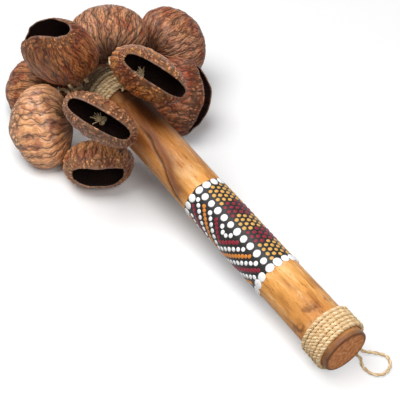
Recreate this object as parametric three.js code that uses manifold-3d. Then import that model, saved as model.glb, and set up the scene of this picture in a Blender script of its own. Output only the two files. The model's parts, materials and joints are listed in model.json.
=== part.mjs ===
// Seed rattle: a wooden stick with a painted band, a twine grip and hanging loop at its butt, and a bunch
// of sawn seed shells at its head, each hung on a knotted cord from the twine that binds the neck.
// Millimetres, +Z up. The rattle lies on the floor with its butt towards +X.
import * as THREE from 'three';
import { mergeVertices } from 'three/addons/utils/BufferGeometryUtils.js';
import Module from 'manifold-3d';

const wasm = await Module();
wasm.setup();

// Stick
const STICK_LENGTH = 266;
const BUTT_RADIUS = 15.2;
const HEAD_RADIUS = 14.7;
const END_ROUND = 1.2;
const NECK_RADIUS = 12.2;
const NECK_LENGTH = 36;
const SHOULDER_LENGTH = 6;
const STICK_SIDES = 28;

// Painted band, let into the stick so that it stands just proud of the wood
const BAND_START = 65;
const BAND_LENGTH = 75;
const BAND_THICKNESS = 0.6;
const BAND_PROUD = 0.2;

// Gap that any two seated pieces keep
const SEAT_GAP = 0.3;

// Twine windings, whose two ends lie at an angle about the stick from its top
const TWINE_DIAMETER = 2.2;
const TURN_GAP = 0.5;
const TURN_STEPS = 24;
const TWINE_SIDES = 6;
const GRIP_START = 4.6;
const GRIP_TURNS = 6;
const GRIP_ENDS = 180;
const BINDING_TURNS = 9;
const BINDING_FROM_END = 5.2;
const BINDING_ENDS = 0;

// Hanging loop of thinner twine, which lies on the floor beside the butt
const LOOP_DIAMETER = 2;
const LOOP_STATION = 6;
const LOOP_ROOT_ANGLES = [-52, -35];
const LOOP_STEPS = 30;
const LOOP_POINTS = [
  [-1.6, 13.4, 1.8],
  [3.6, 10.8, 1.2],
  [9.4, 10.6, 1.2],
  [14.4, 13.4, 1.2],
  [15.6, 19.2, 1.2],
  [12.2, 25, 1.2],
  [6.4, 27.2, 1.2],
  [0.2, 23, 1.4],
  [-4.2, 17.6, 2.6],
];

// Shell cords
const CORD_DIAMETER = 2.6;
const CORD_SIDES = 8;
const CORD_STEPS = 8;
const CORD_LEAD = 6;
const CORD_RISE = 5;
const ROOT_DIAMETER = 3;
const KNOT_DIAMETER = 7;
const HOLE_CLEARANCE = 0.45;

// Shells
const SHELL_WALL = 2;
const RIM_WALL = 1;
const SHELL_SIDES = 20;
const BELLY = 0.45;
const MOUTH_SQUARENESS = 0.7;
const OUTER_RINGS = [0.05, 0.17, 0.42, 0.66, 0.86, 1];
const INNER_RINGS = [1, 0.84, 0.55, 0.25, 0.12];

// Height of the shells that lie under the head
const BED_HEIGHT = 40.6;

// Each shell: its size, the place of its hole (x from the stick's head end towards the butt, z from the
// datum of what holds the shell up, and none for a shell on the floor), the way its mouth looks (heading in
// plan from +X, rise above level), the roll of the mouth's long side, and where its cord leaves the neck: in
// front of or behind the binding, at an angle about the stick from +Y with 90 on top.
const SHELLS = [
  {
    width: 53, thickness: 36, depth: 46, mouthWidth: 44, mouthGap: 17, mouthDrop: 8,
    x: 9.9, y: -17.3, z: 15.3, heading: -123, rise: 57, roll: -118, side: 'front', angle: 130, held: 'cord',
  },
  {
    width: 56, thickness: 37, depth: 42, mouthWidth: 38, mouthGap: 12, mouthDrop: 8,
    x: -19, y: 22, z: -3.5, heading: 151, rise: 16, roll: -3, side: 'front', angle: 8, held: 'cord',
  },
  {
    width: 56, thickness: 38, depth: 43, mouthWidth: 36, mouthGap: 11, mouthDrop: 9,
    x: -21.6, y: 59, z: -17, heading: 96, rise: 3, roll: 29, side: 'front', angle: -20, held: 'cord',
  },
  {
    width: 52, thickness: 31, depth: 41, mouthWidth: 48, mouthGap: 13, mouthDrop: 4,
    x: 34, y: 10.6, z: 5.5, heading: -12, rise: 31, roll: -45, side: 'rear', angle: 58, held: 'stick',
  },
  {
    width: 56, thickness: 36, depth: 44, mouthWidth: 48, mouthGap: 15, mouthDrop: 11,
    x: -1, y: 42, heading: 33, rise: 6, roll: 54, side: 'front', angle: -46, held: 'floor',
  },
  {
    width: 58, thickness: 36, depth: 42, mouthWidth: 42, mouthGap: 12, mouthDrop: 8,
    x: 3.4, y: -24, heading: -127, rise: -8, roll: -53, side: 'front', angle: -142, held: 'floor',
  },
  {
    width: 46, thickness: 30, depth: 38, mouthWidth: 34, mouthGap: 11, mouthDrop: 6,
    x: -42, y: -10, heading: -147, rise: -15, roll: -39, side: 'front', angle: -164, held: 'floor',
  },
  {
    width: 53, thickness: 28, depth: 37, mouthWidth: 46, mouthGap: 13, mouthDrop: 7,
    x: 43.4, y: -23.3, z: -12, heading: -36, rise: 40, roll: -30, side: 'rear', angle: 160, held: 'stick',
  },
  {
    width: 48, thickness: 30, depth: 39, mouthWidth: 36, mouthGap: 15, mouthDrop: 6,
    x: 20, y: -13.7, heading: -33, rise: 11, roll: 0, side: 'front', angle: -118, held: 'floor',
  },
  {
    width: 46, thickness: 30, depth: 40, mouthWidth: 34, mouthGap: 12, mouthDrop: 6,
    x: -25.3, y: 10.7, heading: 156, rise: 31, roll: 10, side: 'front', angle: -70, held: 'floor',
  },
  {
    width: 46, thickness: 30, depth: 38, mouthWidth: 34, mouthGap: 12, mouthDrop: 6,
    x: -25, y: -12, z: 47, heading: 184, rise: 37, roll: -84, side: 'front', angle: 178, held: 'pile',
  },
];

// Derived sizes
const DEGREE = Math.PI / 180;
const TWINE_RADIUS = TWINE_DIAMETER / 2;
const TURN_PITCH = TWINE_DIAMETER + TURN_GAP;
const GRIP_RADIUS = BUTT_RADIUS + SEAT_GAP + TWINE_RADIUS;
const GRIP_OUTER = GRIP_RADIUS + TWINE_RADIUS;
const BINDING_RADIUS = NECK_RADIUS + SEAT_GAP + TWINE_RADIUS;
const BINDING_END = STICK_LENGTH - BINDING_FROM_END;
const BINDING_START = BINDING_END - BINDING_TURNS * TURN_PITCH;
const ROOT_STANDOFF = TWINE_RADIUS + SEAT_GAP + ROOT_DIAMETER / 2;
const ROOT_RADIUS = NECK_RADIUS + SEAT_GAP + ROOT_DIAMETER / 2;
const HOLE_RADIUS = CORD_DIAMETER / 2 + HOLE_CLEARANCE;
const TILT = Math.asin((BED_HEIGHT + HEAD_RADIUS - GRIP_OUTER) / STICK_LENGTH);
const BUTT_HEIGHT = GRIP_OUTER * Math.cos(TILT) - GRIP_START * Math.sin(TILT);
const HEAD_X = -STICK_LENGTH * Math.cos(TILT);
const HEAD_HEIGHT = BUTT_HEIGHT + STICK_LENGTH * Math.sin(TILT);

// Heights that the shells' holes are measured from: a shell that hangs on its cord moves with the middle of
// the stick's head, one that leans on the stick with its top, and one on the pile stays over the floor
const DATUM = { cord: HEAD_HEIGHT, stick: HEAD_HEIGHT + HEAD_RADIUS, pile: 0, floor: 0 };

// Finishes
const WOOD = new THREE.MeshStandardMaterial({ color: 0xb9772f, roughness: 0.42, metalness: 0 });
const PAINT = new THREE.MeshStandardMaterial({ color: 0x1d1b1a, roughness: 0.5, metalness: 0 });
const TWINE = new THREE.MeshStandardMaterial({ color: 0xcfa968, roughness: 0.9, metalness: 0 });
const SEED = new THREE.MeshStandardMaterial({ color: 0x7a4a30, roughness: 0.6, metalness: 0 });

const vector = (x, y, z) => new THREE.Vector3(x, y, z);

// Joins rings of points into a closed skin. A looped skin joins its last ring to its first, and an open
// one is closed by a fan at each end.
function loft(rings, looped) {
  const sides = rings[0].length;
  const points = rings.flat();
  const faces = [];
  const bands = looped ? rings.length : rings.length - 1;
  for (let band = 0; band < bands; band++) {
    const here = band * sides;
    const next = ((band + 1) % rings.length) * sides;
    for (let i = 0; i < sides; i++) {
      const j = (i + 1) % sides;
      faces.push(here + i, here + j, next + j, here + i, next + j, next + i);
    }
  }
  if (!looped) {
    const last = points.length - sides;
    for (let i = 1; i < sides - 1; i++) {
      faces.push(0, i + 1, i, last, last + i, last + i + 1);
    }
  }
  const geometry = new THREE.BufferGeometry().setFromPoints(points);
  geometry.setIndex(faces);
  geometry.computeVertexNormals();
  return geometry;
}

// A closed mesh as a solid that can be joined to another.
function toSolid(geometry) {
  const bare = geometry.index ? geometry.toNonIndexed() : geometry.clone();
  bare.deleteAttribute('normal');
  bare.deleteAttribute('uv');
  const merged = mergeVertices(bare, 1e-4);
  return new wasm.Manifold(new wasm.Mesh({
    numProp: 3,
    vertProperties: merged.getAttribute('position').array,
    triVerts: Uint32Array.from(merged.index.array),
  }));
}

function fromSolid(solid) {
  const { vertProperties, triVerts } = solid.getMesh();
  const geometry = new THREE.BufferGeometry();
  geometry.setAttribute('position', new THREE.BufferAttribute(vertProperties, 3));
  geometry.setIndex(new THREE.BufferAttribute(triVerts, 1));
  geometry.computeVertexNormals();
  return geometry;
}

// A tube with flat ends along a smooth curve through the points.
function tube(points, diameter, steps) {
  const corners = [];
  for (let i = 0; i < CORD_SIDES; i++) {
    const turn = (2 * Math.PI * i) / CORD_SIDES;
    corners.push(new THREE.Vector2(Math.cos(turn), Math.sin(turn)).multiplyScalar(diameter / 2));
  }
  const extrudePath = new THREE.CatmullRomCurve3(points, false, 'centripetal');
  return new THREE.ExtrudeGeometry(new THREE.Shape(corners), { steps, bevelEnabled: false, extrudePath });
}

// Twine wound about the stick's axis: one unbroken helical tube whose ends run straight for one diameter.
function winding(name, radius, start, turns, ends) {
  const steps = turns * TURN_STEPS;
  const climb = TURN_PITCH / (2 * Math.PI);
  const centres = [];
  const tangents = [];
  for (let i = 0; i <= steps; i++) {
    const turn = ends * DEGREE + (2 * Math.PI * i) / TURN_STEPS;
    const across = radius * Math.cos(turn);
    const above = radius * Math.sin(turn);
    centres.push(vector(across, above, start + (TURN_PITCH * i) / TURN_STEPS));
    tangents.push(vector(-above, across, climb).normalize());
  }
  let least = Infinity;
  for (let i = 0; i <= steps; i++) {
    for (let j = i + TURN_STEPS / 2; j <= steps; j++) {
      least = Math.min(least, centres[i].distanceTo(centres[j]) - TWINE_DIAMETER);
    }
  }
  console.log(`${name}: least gap between turns ${least.toFixed(2)} mm`);

  const ring = (i, slide) => {
    const out = vector(centres[i].x, centres[i].y, 0).normalize();
    const across = tangents[i].clone().cross(out);
    const middle = centres[i].clone().addScaledVector(tangents[i], slide);
    const points = [];
    for (let k = 0; k < TWINE_SIDES; k++) {
      const turn = (2 * Math.PI * k) / TWINE_SIDES;
      points.push(middle.clone()
        .addScaledVector(out, TWINE_RADIUS * Math.cos(turn))
        .addScaledVector(across, TWINE_RADIUS * Math.sin(turn)));
    }
    return points;
  };
  const rings = [ring(0, -TWINE_DIAMETER)];
  for (let i = 0; i <= steps; i++) {
    rings.push(ring(i, 0));
  }
  rings.push(ring(steps, TWINE_DIAMETER));
  return loft(rings, false);
}

// A turned piece, whose outline is pairs of radius and station along the stick.
function turned(outline) {
  const points = outline.map(([radius, station]) => new THREE.Vector2(radius, station));
  return new THREE.LatheGeometry(points, STICK_SIDES).rotateX(Math.PI / 2);
}

const stickRadius = (station) => BUTT_RADIUS + ((HEAD_RADIUS - BUTT_RADIUS) * station) / STICK_LENGTH;

function stickShape() {
  const bandEnd = BAND_START + BAND_LENGTH;
  const recess = BAND_THICKNESS - BAND_PROUD + SEAT_GAP;
  const shoulder = STICK_LENGTH - NECK_LENGTH;
  return turned([
    [0, 0],
    [BUTT_RADIUS - END_ROUND, 0],
    [BUTT_RADIUS, END_ROUND],
    [stickRadius(BAND_START), BAND_START - SEAT_GAP],
    [stickRadius(BAND_START) - recess, BAND_START - SEAT_GAP],
    [stickRadius(bandEnd) - recess, bandEnd + SEAT_GAP],
    [stickRadius(bandEnd), bandEnd + SEAT_GAP],
    [stickRadius(shoulder), shoulder - SHOULDER_LENGTH],
    [NECK_RADIUS, shoulder],
    [NECK_RADIUS, STICK_LENGTH - END_ROUND],
    [NECK_RADIUS - END_ROUND, STICK_LENGTH],
    [0, STICK_LENGTH],
  ]);
}

function bandShape() {
  const bandEnd = BAND_START + BAND_LENGTH;
  const outer = (station) => stickRadius(station) + BAND_PROUD;
  return turned([
    [outer(BAND_START) - BAND_THICKNESS, BAND_START],
    [outer(BAND_START), BAND_START],
    [outer(bandEnd), bandEnd],
    [outer(bandEnd) - BAND_THICKNESS, bandEnd],
    [outer(BAND_START) - BAND_THICKNESS, BAND_START],
  ]);
}

// A seed shell stands on its closed end with its mouth up. It swells to its belly and draws in again to a
// slot, whose two ends curve down, and a hole for the cord goes through the closed end.
function shellShape(shell) {
  const fullness = (t, mouthShare) => {
    const rise = t < BELLY ? (BELLY - t) / BELLY : (t - BELLY) / (1 - BELLY);
    const loss = t < BELLY ? 1 : 1 - mouthShare * mouthShare;
    return Math.sqrt(1 - loss * rise * rise);
  };
  const ring = (t, inset, height) => {
    const squareness = 2 / (2 + MOUTH_SQUARENESS * Math.max(0, 2 * t - 1));
    const reach = (fullness(t, shell.mouthWidth / shell.width) * shell.width) / 2 - inset;
    const depth = (fullness(t, shell.mouthGap / shell.thickness) * shell.thickness) / 2 - inset;
    const points = [];
    for (let i = 0; i < SHELL_SIDES; i++) {
      const turn = (2 * Math.PI * i) / SHELL_SIDES;
      const x = Math.sign(Math.cos(turn)) * Math.abs(Math.cos(turn)) ** squareness;
      const y = Math.sign(Math.sin(turn)) * Math.abs(Math.sin(turn)) ** squareness;
      points.push(vector(reach * x, depth * y, height - shell.mouthDrop * t ** 3 * x * x));
    }
    return points;
  };
  const hole = (height) => {
    const points = [];
    for (let i = 0; i < SHELL_SIDES; i++) {
      const turn = (2 * Math.PI * i) / SHELL_SIDES;
      points.push(vector(HOLE_RADIUS * Math.cos(turn), HOLE_RADIUS * Math.sin(turn), height));
    }
    return points;
  };
  const outside = OUTER_RINGS.map((t) => ring(t, 0, t * shell.depth));
  const inside = INNER_RINGS.map((t, i) => ring(t, i ? SHELL_WALL : RIM_WALL, t * shell.depth));
  return loft([hole(0), ...outside, ...inside, hole(SHELL_WALL)], true);
}

// Stick group: its own Z runs along the stick from the butt to the head, and its X points up.
const stick = new THREE.Group();
stick.position.set(0, 0, BUTT_HEIGHT);
stick.rotation.y = TILT - Math.PI / 2;
stick.updateMatrixWorld(true);

function part(name, geometry, material) {
  const mesh = new THREE.Mesh(geometry, material);
  mesh.name = name;
  return mesh;
}

const wound = (name, ...sizes) => part(name, winding(name, ...sizes), TWINE);

stick.add(
  part('handle', stickShape(), WOOD),
  part('painted_band', bandShape(), PAINT),
  wound('grip_winding', GRIP_RADIUS, GRIP_START, GRIP_TURNS, GRIP_ENDS),
  wound('head_binding', BINDING_RADIUS, BINDING_START, BINDING_TURNS, BINDING_ENDS),
);

// A point at a station along the stick, at a radius and an angle about it.
function onStick(station, radius, angle) {
  const up = radius * Math.sin(angle * DEGREE);
  const side = radius * Math.cos(angle * DEGREE);
  return stick.localToWorld(vector(up, side, station));
}

// The loop's two ends stand square on the grip winding, then it runs out over the floor and back.
function loopShape() {
  const [first, last] = LOOP_ROOT_ANGLES;
  const foot = GRIP_OUTER + SEAT_GAP;
  const root = (angle) => [0, LOOP_DIAMETER].map((rise) => onStick(LOOP_STATION, foot + rise, angle));
  const route = LOOP_POINTS.map((point) => vector(...point));
  return tube([...root(first), ...route, ...root(last).reverse()], LOOP_DIAMETER, LOOP_STEPS);
}

const loop = part('hang_loop', loopShape(), TWINE);

// A shell turned and set with its hole in place. A shell that lies on the floor comes down on it.
function placeShell(shell, name) {
  const mesh = part(name, shellShape(shell), SEED);
  mesh.rotation.order = 'ZYX';
  mesh.rotation.set(0, (90 - shell.rise) * DEGREE, shell.heading * DEGREE);
  mesh.rotateZ((90 + shell.roll) * DEGREE);
  mesh.position.set(HEAD_X + shell.x, shell.y, DATUM[shell.held] + (shell.z ?? 0));
  mesh.updateMatrixWorld(true);
  if (shell.held === 'floor') {
    mesh.position.z -= new THREE.Box3().setFromObject(mesh, true).min.z;
    mesh.updateMatrixWorld(true);
  }
  return mesh;
}

// The cord of a shell: a round root beside the binding, a smooth run to the hole, straight through it, and
// a stopper knot inside.
function cordShape(shell, mesh) {
  const station = shell.side === 'front' ? BINDING_END + ROOT_STANDOFF : BINDING_START - ROOT_STANDOFF;
  const root = onStick(station, ROOT_RADIUS, shell.angle);
  const raised = onStick(station, ROOT_RADIUS + CORD_RISE, shell.angle);
  const along = (distance) => mesh.localToWorld(vector(0, 0, distance));
  const knot = along(SHELL_WALL + SEAT_GAP + KNOT_DIAMETER / 2);
  const run = tube([root, raised, along(-CORD_LEAD), along(0), knot], CORD_DIAMETER, CORD_STEPS);
  const ball = (diameter, place) => new THREE.IcosahedronGeometry(diameter / 2, 1).translate(...place);
  return fromSolid(toSolid(run)
    .add(toSolid(ball(ROOT_DIAMETER, root)))
    .add(toSolid(ball(KNOT_DIAMETER, knot))));
}

const rattle = new THREE.Group();
rattle.add(stick);
SHELLS.forEach((shell, index) => {
  const mesh = placeShell(shell, `seed_shell_${index + 1}`);
  rattle.add(mesh, part(`shell_cord_${index + 1}`, cordShape(shell, mesh), TWINE));
});

// The origin is on the floor, under the middle of the rattle without its loop.
const box = new THREE.Box3().setFromObject(rattle, true);
const middle = box.getCenter(vector(0, 0, 0));
rattle.add(loop);
rattle.position.set(-middle.x, -middle.y, -box.min.z);

export default rattle;
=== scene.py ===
# Seed rattle: a waxed wooden stick with a dotted band, a twine grip and a bunch of sawn seed shells.
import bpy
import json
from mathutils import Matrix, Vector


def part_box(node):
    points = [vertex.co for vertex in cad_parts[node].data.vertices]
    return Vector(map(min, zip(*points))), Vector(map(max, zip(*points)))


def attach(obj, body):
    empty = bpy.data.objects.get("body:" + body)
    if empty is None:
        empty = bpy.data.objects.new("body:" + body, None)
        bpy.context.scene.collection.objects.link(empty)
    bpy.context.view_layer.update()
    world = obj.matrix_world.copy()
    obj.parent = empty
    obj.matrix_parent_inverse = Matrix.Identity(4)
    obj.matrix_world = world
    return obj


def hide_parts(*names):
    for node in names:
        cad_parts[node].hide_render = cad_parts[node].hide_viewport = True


bl_info = {
    "name": "Seed rattle maker",
    "version": (1, 0, 0),
    "blender": (4, 5, 0),
    "location": "3D View > Sidebar > Rattle",
    "description": "Makes a seed rattle around its packed frame",
    "category": "Add Mesh",
}

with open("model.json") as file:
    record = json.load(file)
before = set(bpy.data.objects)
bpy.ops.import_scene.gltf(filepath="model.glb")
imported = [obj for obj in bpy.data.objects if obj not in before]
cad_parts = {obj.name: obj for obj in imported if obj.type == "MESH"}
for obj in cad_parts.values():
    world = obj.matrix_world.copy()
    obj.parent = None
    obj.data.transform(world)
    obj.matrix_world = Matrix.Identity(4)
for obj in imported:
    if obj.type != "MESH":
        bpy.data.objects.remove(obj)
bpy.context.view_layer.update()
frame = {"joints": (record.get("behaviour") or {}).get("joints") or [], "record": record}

import json
import math
from collections import namedtuple

import bmesh
import bpy
import numpy as np
from bpy.props import FloatProperty, FloatVectorProperty, IntProperty, PointerProperty
from mathutils import Matrix, Vector

# The script's lengths are in millimetres, and meshes are in metres
MM = 0.001

# The stick's own axes, from the mount on its butt
MOUNTS = {mount["name"]: mount for mount in frame["record"]["mounts"]}
BUTT = np.array(MOUNTS["butt_face"]["pos_m"]) / MM
ALONG = -np.array(Vector(MOUNTS["butt_face"]["axis"]).normalized())
SIDE = np.array((0.0, 1.0, 0.0))
UP = np.cross(SIDE, ALONG)
UNDER_BUTT = BUTT * (1, 1, 0)
# The stick's side that faces the camera, as an angle about it from +Y with 90 on top
FACING = 120.3

# Stick and band, as on the solids
STICK_LENGTH = 266.0
BUTT_RADIUS = 15.2
HEAD_RADIUS = 14.7
END_ROUND = 1.2
NECK_RADIUS = 12.2
NECK_LENGTH = 36.0
SHOULDER = STICK_LENGTH - NECK_LENGTH
SHOULDER_LENGTH = 6.0
BAND_START = 65.0
BAND_END = 140.0
BAND_PROUD = 0.2
BAND_SINK = 0.6

# The branch is wavy from past the winding to before the shoulder
WAVES_START = (28.0, 42.0)
WAVES_END = (SHOULDER - 8.0, SHOULDER - 18.0)

# The natural crease, by station: the angle of its middle, its half width and the breadth of its strip
CREASE_START = (142.0, 150.0)
CREASE_END = (212.0, 194.0)
CREASE_ANGLE = ((152, 159, 168, 172, 185, 190, 212, 226), (185, 172, 149, 143, 132, 126, 118, 114))
CREASE_REACH = ((142, 166, 200), (1.9, 1.1, 0.8))
STRIP_BREADTH = ((142, 160, 185, 212), (6.4, 4.8, 2.8, 1.6))
STRIP_DEPTH = 0.45

# Stains, darkening and painted shade on the wood: the station where each starts, and the one where it is
# whole
BUTT_HEM = (5.0, 2.0)
GRIP_STAIN = (46.0, 20.0)
FIRST_DARKENING = (136.0, 166.0)
DARKENED = (166.0, 206.0)
# Painted shadow of the shells on the stick, and painted shade on the neck among them
UNDER_SHELLS = (180.0, 204.0)
NECK_SHADE = (228.0, 252.0)

# The band's brushed edge: how far it wanders out, how far it is rounded down, and how far it laps
EDGE_WANDER = 0.2
EDGE_ROUND = 0.12
EDGE_LAPS = (0.15, 0.1)
COAT_ROUGHNESS = 0.42
DOT_ROUGHNESS = 0.38
# The field's stripes are this wide, and the first starts this far from the band's start
STRIPE_LEAD = 18.5
STRIPE_WIDTH = 12.2
# Nested half diamonds: how many lines are tried, how steep they are, and how far off the band's middle
CHEVRON_LINES = 20
CHEVRON_SLOPE = 1.15
CHEVRON_SHIFT = 1.5

# Twine, as on the solids
SEAT_GAP = 0.3
GRIP_START = 4.6
GRIP_TURNS = 6
GRIP_ENDS = 180.0
BINDING_FROM_END = 5.2
BINDING_TURNS = 9
BINDING_ENDS = 0.0
TWINE_DIAMETER = 2.2
TURN_PITCH = 2.7
GRIP_RADIUS = BUTT_RADIUS + SEAT_GAP + TWINE_DIAMETER / 2
GRIP_OUTER = GRIP_RADIUS + TWINE_DIAMETER / 2
BINDING_RADIUS = NECK_RADIUS + SEAT_GAP + TWINE_DIAMETER / 2
BINDING_START = STICK_LENGTH - BINDING_FROM_END - BINDING_TURNS * TURN_PITCH

# Diameters that the twine is drawn with
DRAWN_GRIP = 2.75
DRAWN_BINDING = 2.6
DRAWN_CORD = 2.2
DRAWN_FRAY = 0.8
# A ply's radius, and its middle's distance from the twine's, as shares of the twine's diameter
PLY_RADIUS = 0.32
PLY_REACH = 0.2
# Loose hairs: their radius at the tip and at the root, and their length, which is less on the thin twine
HAIR_TIP = 0.02
HAIR_ROOT = 0.07
HAIR_LENGTH = 2.5
LOOP_HAIR_LENGTH = 1.5
FRAY_HAIR_LENGTH = 1.2
# How far hand winding strays
GRIP_STRAY = 0.12
BINDING_STRAY = 0.2
OVER_STRAY = 0.4
# Turns over the head binding, which only the visual model has
OVER_LIFT = 1.3
OVER_LEAD = 2.0
OVER_TURNS = -3
OVER_PITCH = 6.2
OVER_ENDS = 70.0
# Least and most painted shade on the binding and the cords, and the length in which a cord's painted shade
# fades
BINDING_SHADE = (0.25, 0.9)
CORD_SHADE = (0.15, 0.8)
SHADE_FADE_LENGTH = 30.0

# Hanging loop: its route on the floor, from under the middle of the butt
LOOP_DIAMETER = 2.0
LOOP_SLACK = 2.3
LOOP_STATION = 6.0
LOOP_ROOT_ANGLES = (-52, -35)
LOOP_POINTS = (
    (-1.6, 13.4, 1.8),
    (3.6, 10.8, 1.2),
    (9.4, 10.6, 1.2),
    (14.4, 13.4, 1.2),
    (15.6, 19.2, 1.2),
    (12.2, 25, 1.2),
    (6.4, 27.2, 1.2),
    (0.2, 23, 1.4),
    (-4.2, 17.6, 2.6),
)

# Shell cords, as on the solids, but for the hitch, which is drawn tighter
CORD_LEAD = 6.0
CORD_RISE = 5.0
KNOT_DIAMETER = 7.0
KNOT_STRAND = 2.0
KNOT_DEPTH = 5.8
HITCH_DIAMETER = 2.8
HITCH_STRAND = 1.4
# Strands of a frayed cord end, and the angle from one to the next
FRAY_STRANDS = 7
FRAY_ANGLE = 22

# Shells, as on the solids: sizes and the way the mouth looks, then how light and how golden the shell is
Shell = namedtuple(
    "Shell", "width thickness depth mouth_width mouth_gap mouth_drop heading rise roll tone gold"
)
SHELLS = (
    Shell(53, 36, 46, 44, 17, 8, -123, 57, -118, 0.1, 0.4),
    Shell(56, 37, 42, 38, 12, 8, 151, 16, -3, 0.4, 0.0),
    Shell(56, 38, 43, 36, 11, 9, 96, 3, 29, 0.31, 0.0),
    Shell(52, 31, 41, 48, 13, 4, -12, 31, -45, 0.5, 0.7),
    Shell(56, 36, 44, 48, 15, 11, 33, 6, 54, 0.1, 0.1),
    Shell(58, 36, 42, 42, 12, 8, -127, -8, -53, 1.0, 0.4),
    Shell(46, 30, 38, 34, 11, 6, -147, -15, -39, 0.3, 0.4),
    Shell(53, 28, 37, 46, 13, 7, -36, 40, -30, 0.48, 0.1),
    Shell(48, 30, 39, 36, 15, 6, -33, 11, 0, 0.7, 0.5),
    Shell(46, 30, 40, 34, 12, 6, 156, 31, 10, 0.3, 0.2),
    Shell(46, 30, 38, 34, 12, 6, 184, 37, -84, 0.4, 0.2),
)
SHELL_WALL = 2.0
RIM_WALL = 1.0
HOLE_RADIUS = 1.75
BELLY = 0.45
MOUTH_SQUARENESS = 0.7
# How far apart the shells' skins are taken from the same pattern
SKIN_DRIFT = 37.0
# Pebbles cover the skin this far from the mouth, and are gone by here
LIP_WIDTH = 4.0
LIP_FADE = 13.0

# Fineness of the meshes
SHELL_SIDES = 264
OUTER_ROWS = 104
LIP_ROWS = 6
INNER_ROWS = 34
STICK_SIDES = 144
STICK_STEP = 1.0
BAND_ROWS = 74
TWINE_STEP = 0.5
TWINE_SIDES = 8
KNOT_STEPS = 60

# Floor: where the bunch of shells stands, and how far from it the floor starts and ends its fade to white
BUNCH_MIDDLE = (-100.0, -20.0, 0.0)
FLOOR_FADE = (60.0, 480.0)
FLOOR_REACH = 4000
FLOOR_TOP = -0.4

# Camera, as in the photograph
CAMERA_AIM = (25.4, -20.0, 30.0)
CAMERA_AZIMUTH = math.radians(54.13)
CAMERA_ELEVATION = math.radians(41.93)
CAMERA_DISTANCE = 846.5
CAMERA_LENS = 119.7
CAMERA_SENSOR = 36.0
# Lamps, in metres from where the camera aims: towards the camera, to its right and up, then their sizes
KEY_LAMP = (0.0, -0.32, 1.0, 0.95)
FILL_LAMP = (0.9, 0.2, 0.1, 0.35)


# Settings

def linear(code):
    """An sRGB hex colour as linear red, green and blue."""
    parts = [int(code[i:i + 2], 16) / 255 for i in (1, 3, 5)]
    return tuple(p / 12.92 if p <= 0.04045 else ((p + 0.055) / 1.055) ** 2.4 for p in parts)


def colour(label, text, code):
    return FloatVectorProperty(name=label, description=text, default=linear(code), size=3, min=0.0, max=1.0,
                               subtype="COLOR")


def number(label, text, default, **more):
    return FloatProperty(name=label, description=text, default=default, min=0.0, **more)


def length(label, text, default):
    return number(label, text, default * MM, unit="LENGTH", precision=5)


def count(label, text, default):
    return IntProperty(name=label, description=text, default=default, min=3)


class StickSettings(bpy.types.PropertyGroup):
    """Looks of the wooden stick"""
    crease_depth: length("Crease depth", "Depth of the natural crease beside the band", 1.1)
    waviness: length("Waviness", "How far the branch departs from a true round", 0.3)
    honey: colour("Honey", "Middle tone of the waxed wood", "#e6a254")
    pale: colour("Pale streak", "Lightest streaks in the grain", "#ffd090")
    dark: colour("Dark streak", "Darkest streaks in the grain", "#8a501d")
    tan: colour("Tan", "Darker patches", "#a2612a")
    red: colour("Red stain", "Redder stain near the grip", "#a65c2e")
    smudge: colour("Smudge", "Dark smudges near the grip", "#54260f")
    # Painted shadow of the shells on the stick, and painted shade on the neck
    painted_shadow: colour("Old stain", "Stain under the shells and on the neck", "#2e150a")
    hem: colour("Hem", "Stain beside the edge of the butt", "#6e4733")
    strip: colour("Strip", "Purplish strip beside the crease", "#6f3f2c")
    # Painted shade at the bottom of the crease
    crease: colour("Crease", "Bottom of the crease", "#2c140b")
    butt: colour("Butt", "Stained end grain of the butt", "#e0925c")
    butt_dark: colour("Dark butt", "Darker end grain", "#b86a3c")
    butt_pale: colour("Pale butt", "Lighter end grain", "#f0b582")
    rim: colour("Rim", "Dark rim of the butt", "#4a2717")


class BandSettings(bpy.types.PropertyGroup):
    """Looks of the dotted band"""
    ground: colour("Ground", "Black paint under the dots", "#191716")
    white: colour("White", "White dots", "#ffffff")
    maroon: colour("Maroon", "Dark red dots", "#8e2034")
    orange: colour("Orange", "Orange dots", "#e08c38")
    ochre: colour("Ochre", "Yellow ochre dots", "#e3ad5a")
    large_dot: length("Large dot", "Diameter of the large white dots", 5.3)
    middle_dot: length("Middle dot", "Diameter of the white dots in the chevrons", 3.1)
    small_dot: length("Small dot", "Diameter of the small coloured dots", 2.6)
    dot_height: number("Dot height", "Height of a dot as a share of its radius", 0.22, max=1.0,
                       subtype="FACTOR")


class TwineSettings(bpy.types.PropertyGroup):
    """Looks of the twine"""
    lay: length("Lay", "Length in which the two plies go once round each other", 3.8)
    fibre: length("Fibre", "Unevenness of the plies", 0.22)
    hairs: number("Hairs", "Loose fibre ends for each square metre of twine", 45000.0)
    straw: colour("Straw", "Twine in the light", "#f6dbaa")
    glint: colour("Glint", "Lightest fibres", "#fff0d0")
    shade: colour("Shade", "Twine between its fibres", "#b08248")
    ruddy: colour("Ruddy", "The browner of the two plies", "#c99a68")
    # Painted shade on the binding and on the cords near their roots
    painted_shade: colour("Grime", "Where the twine is dirty", "#2e1606")


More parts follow.
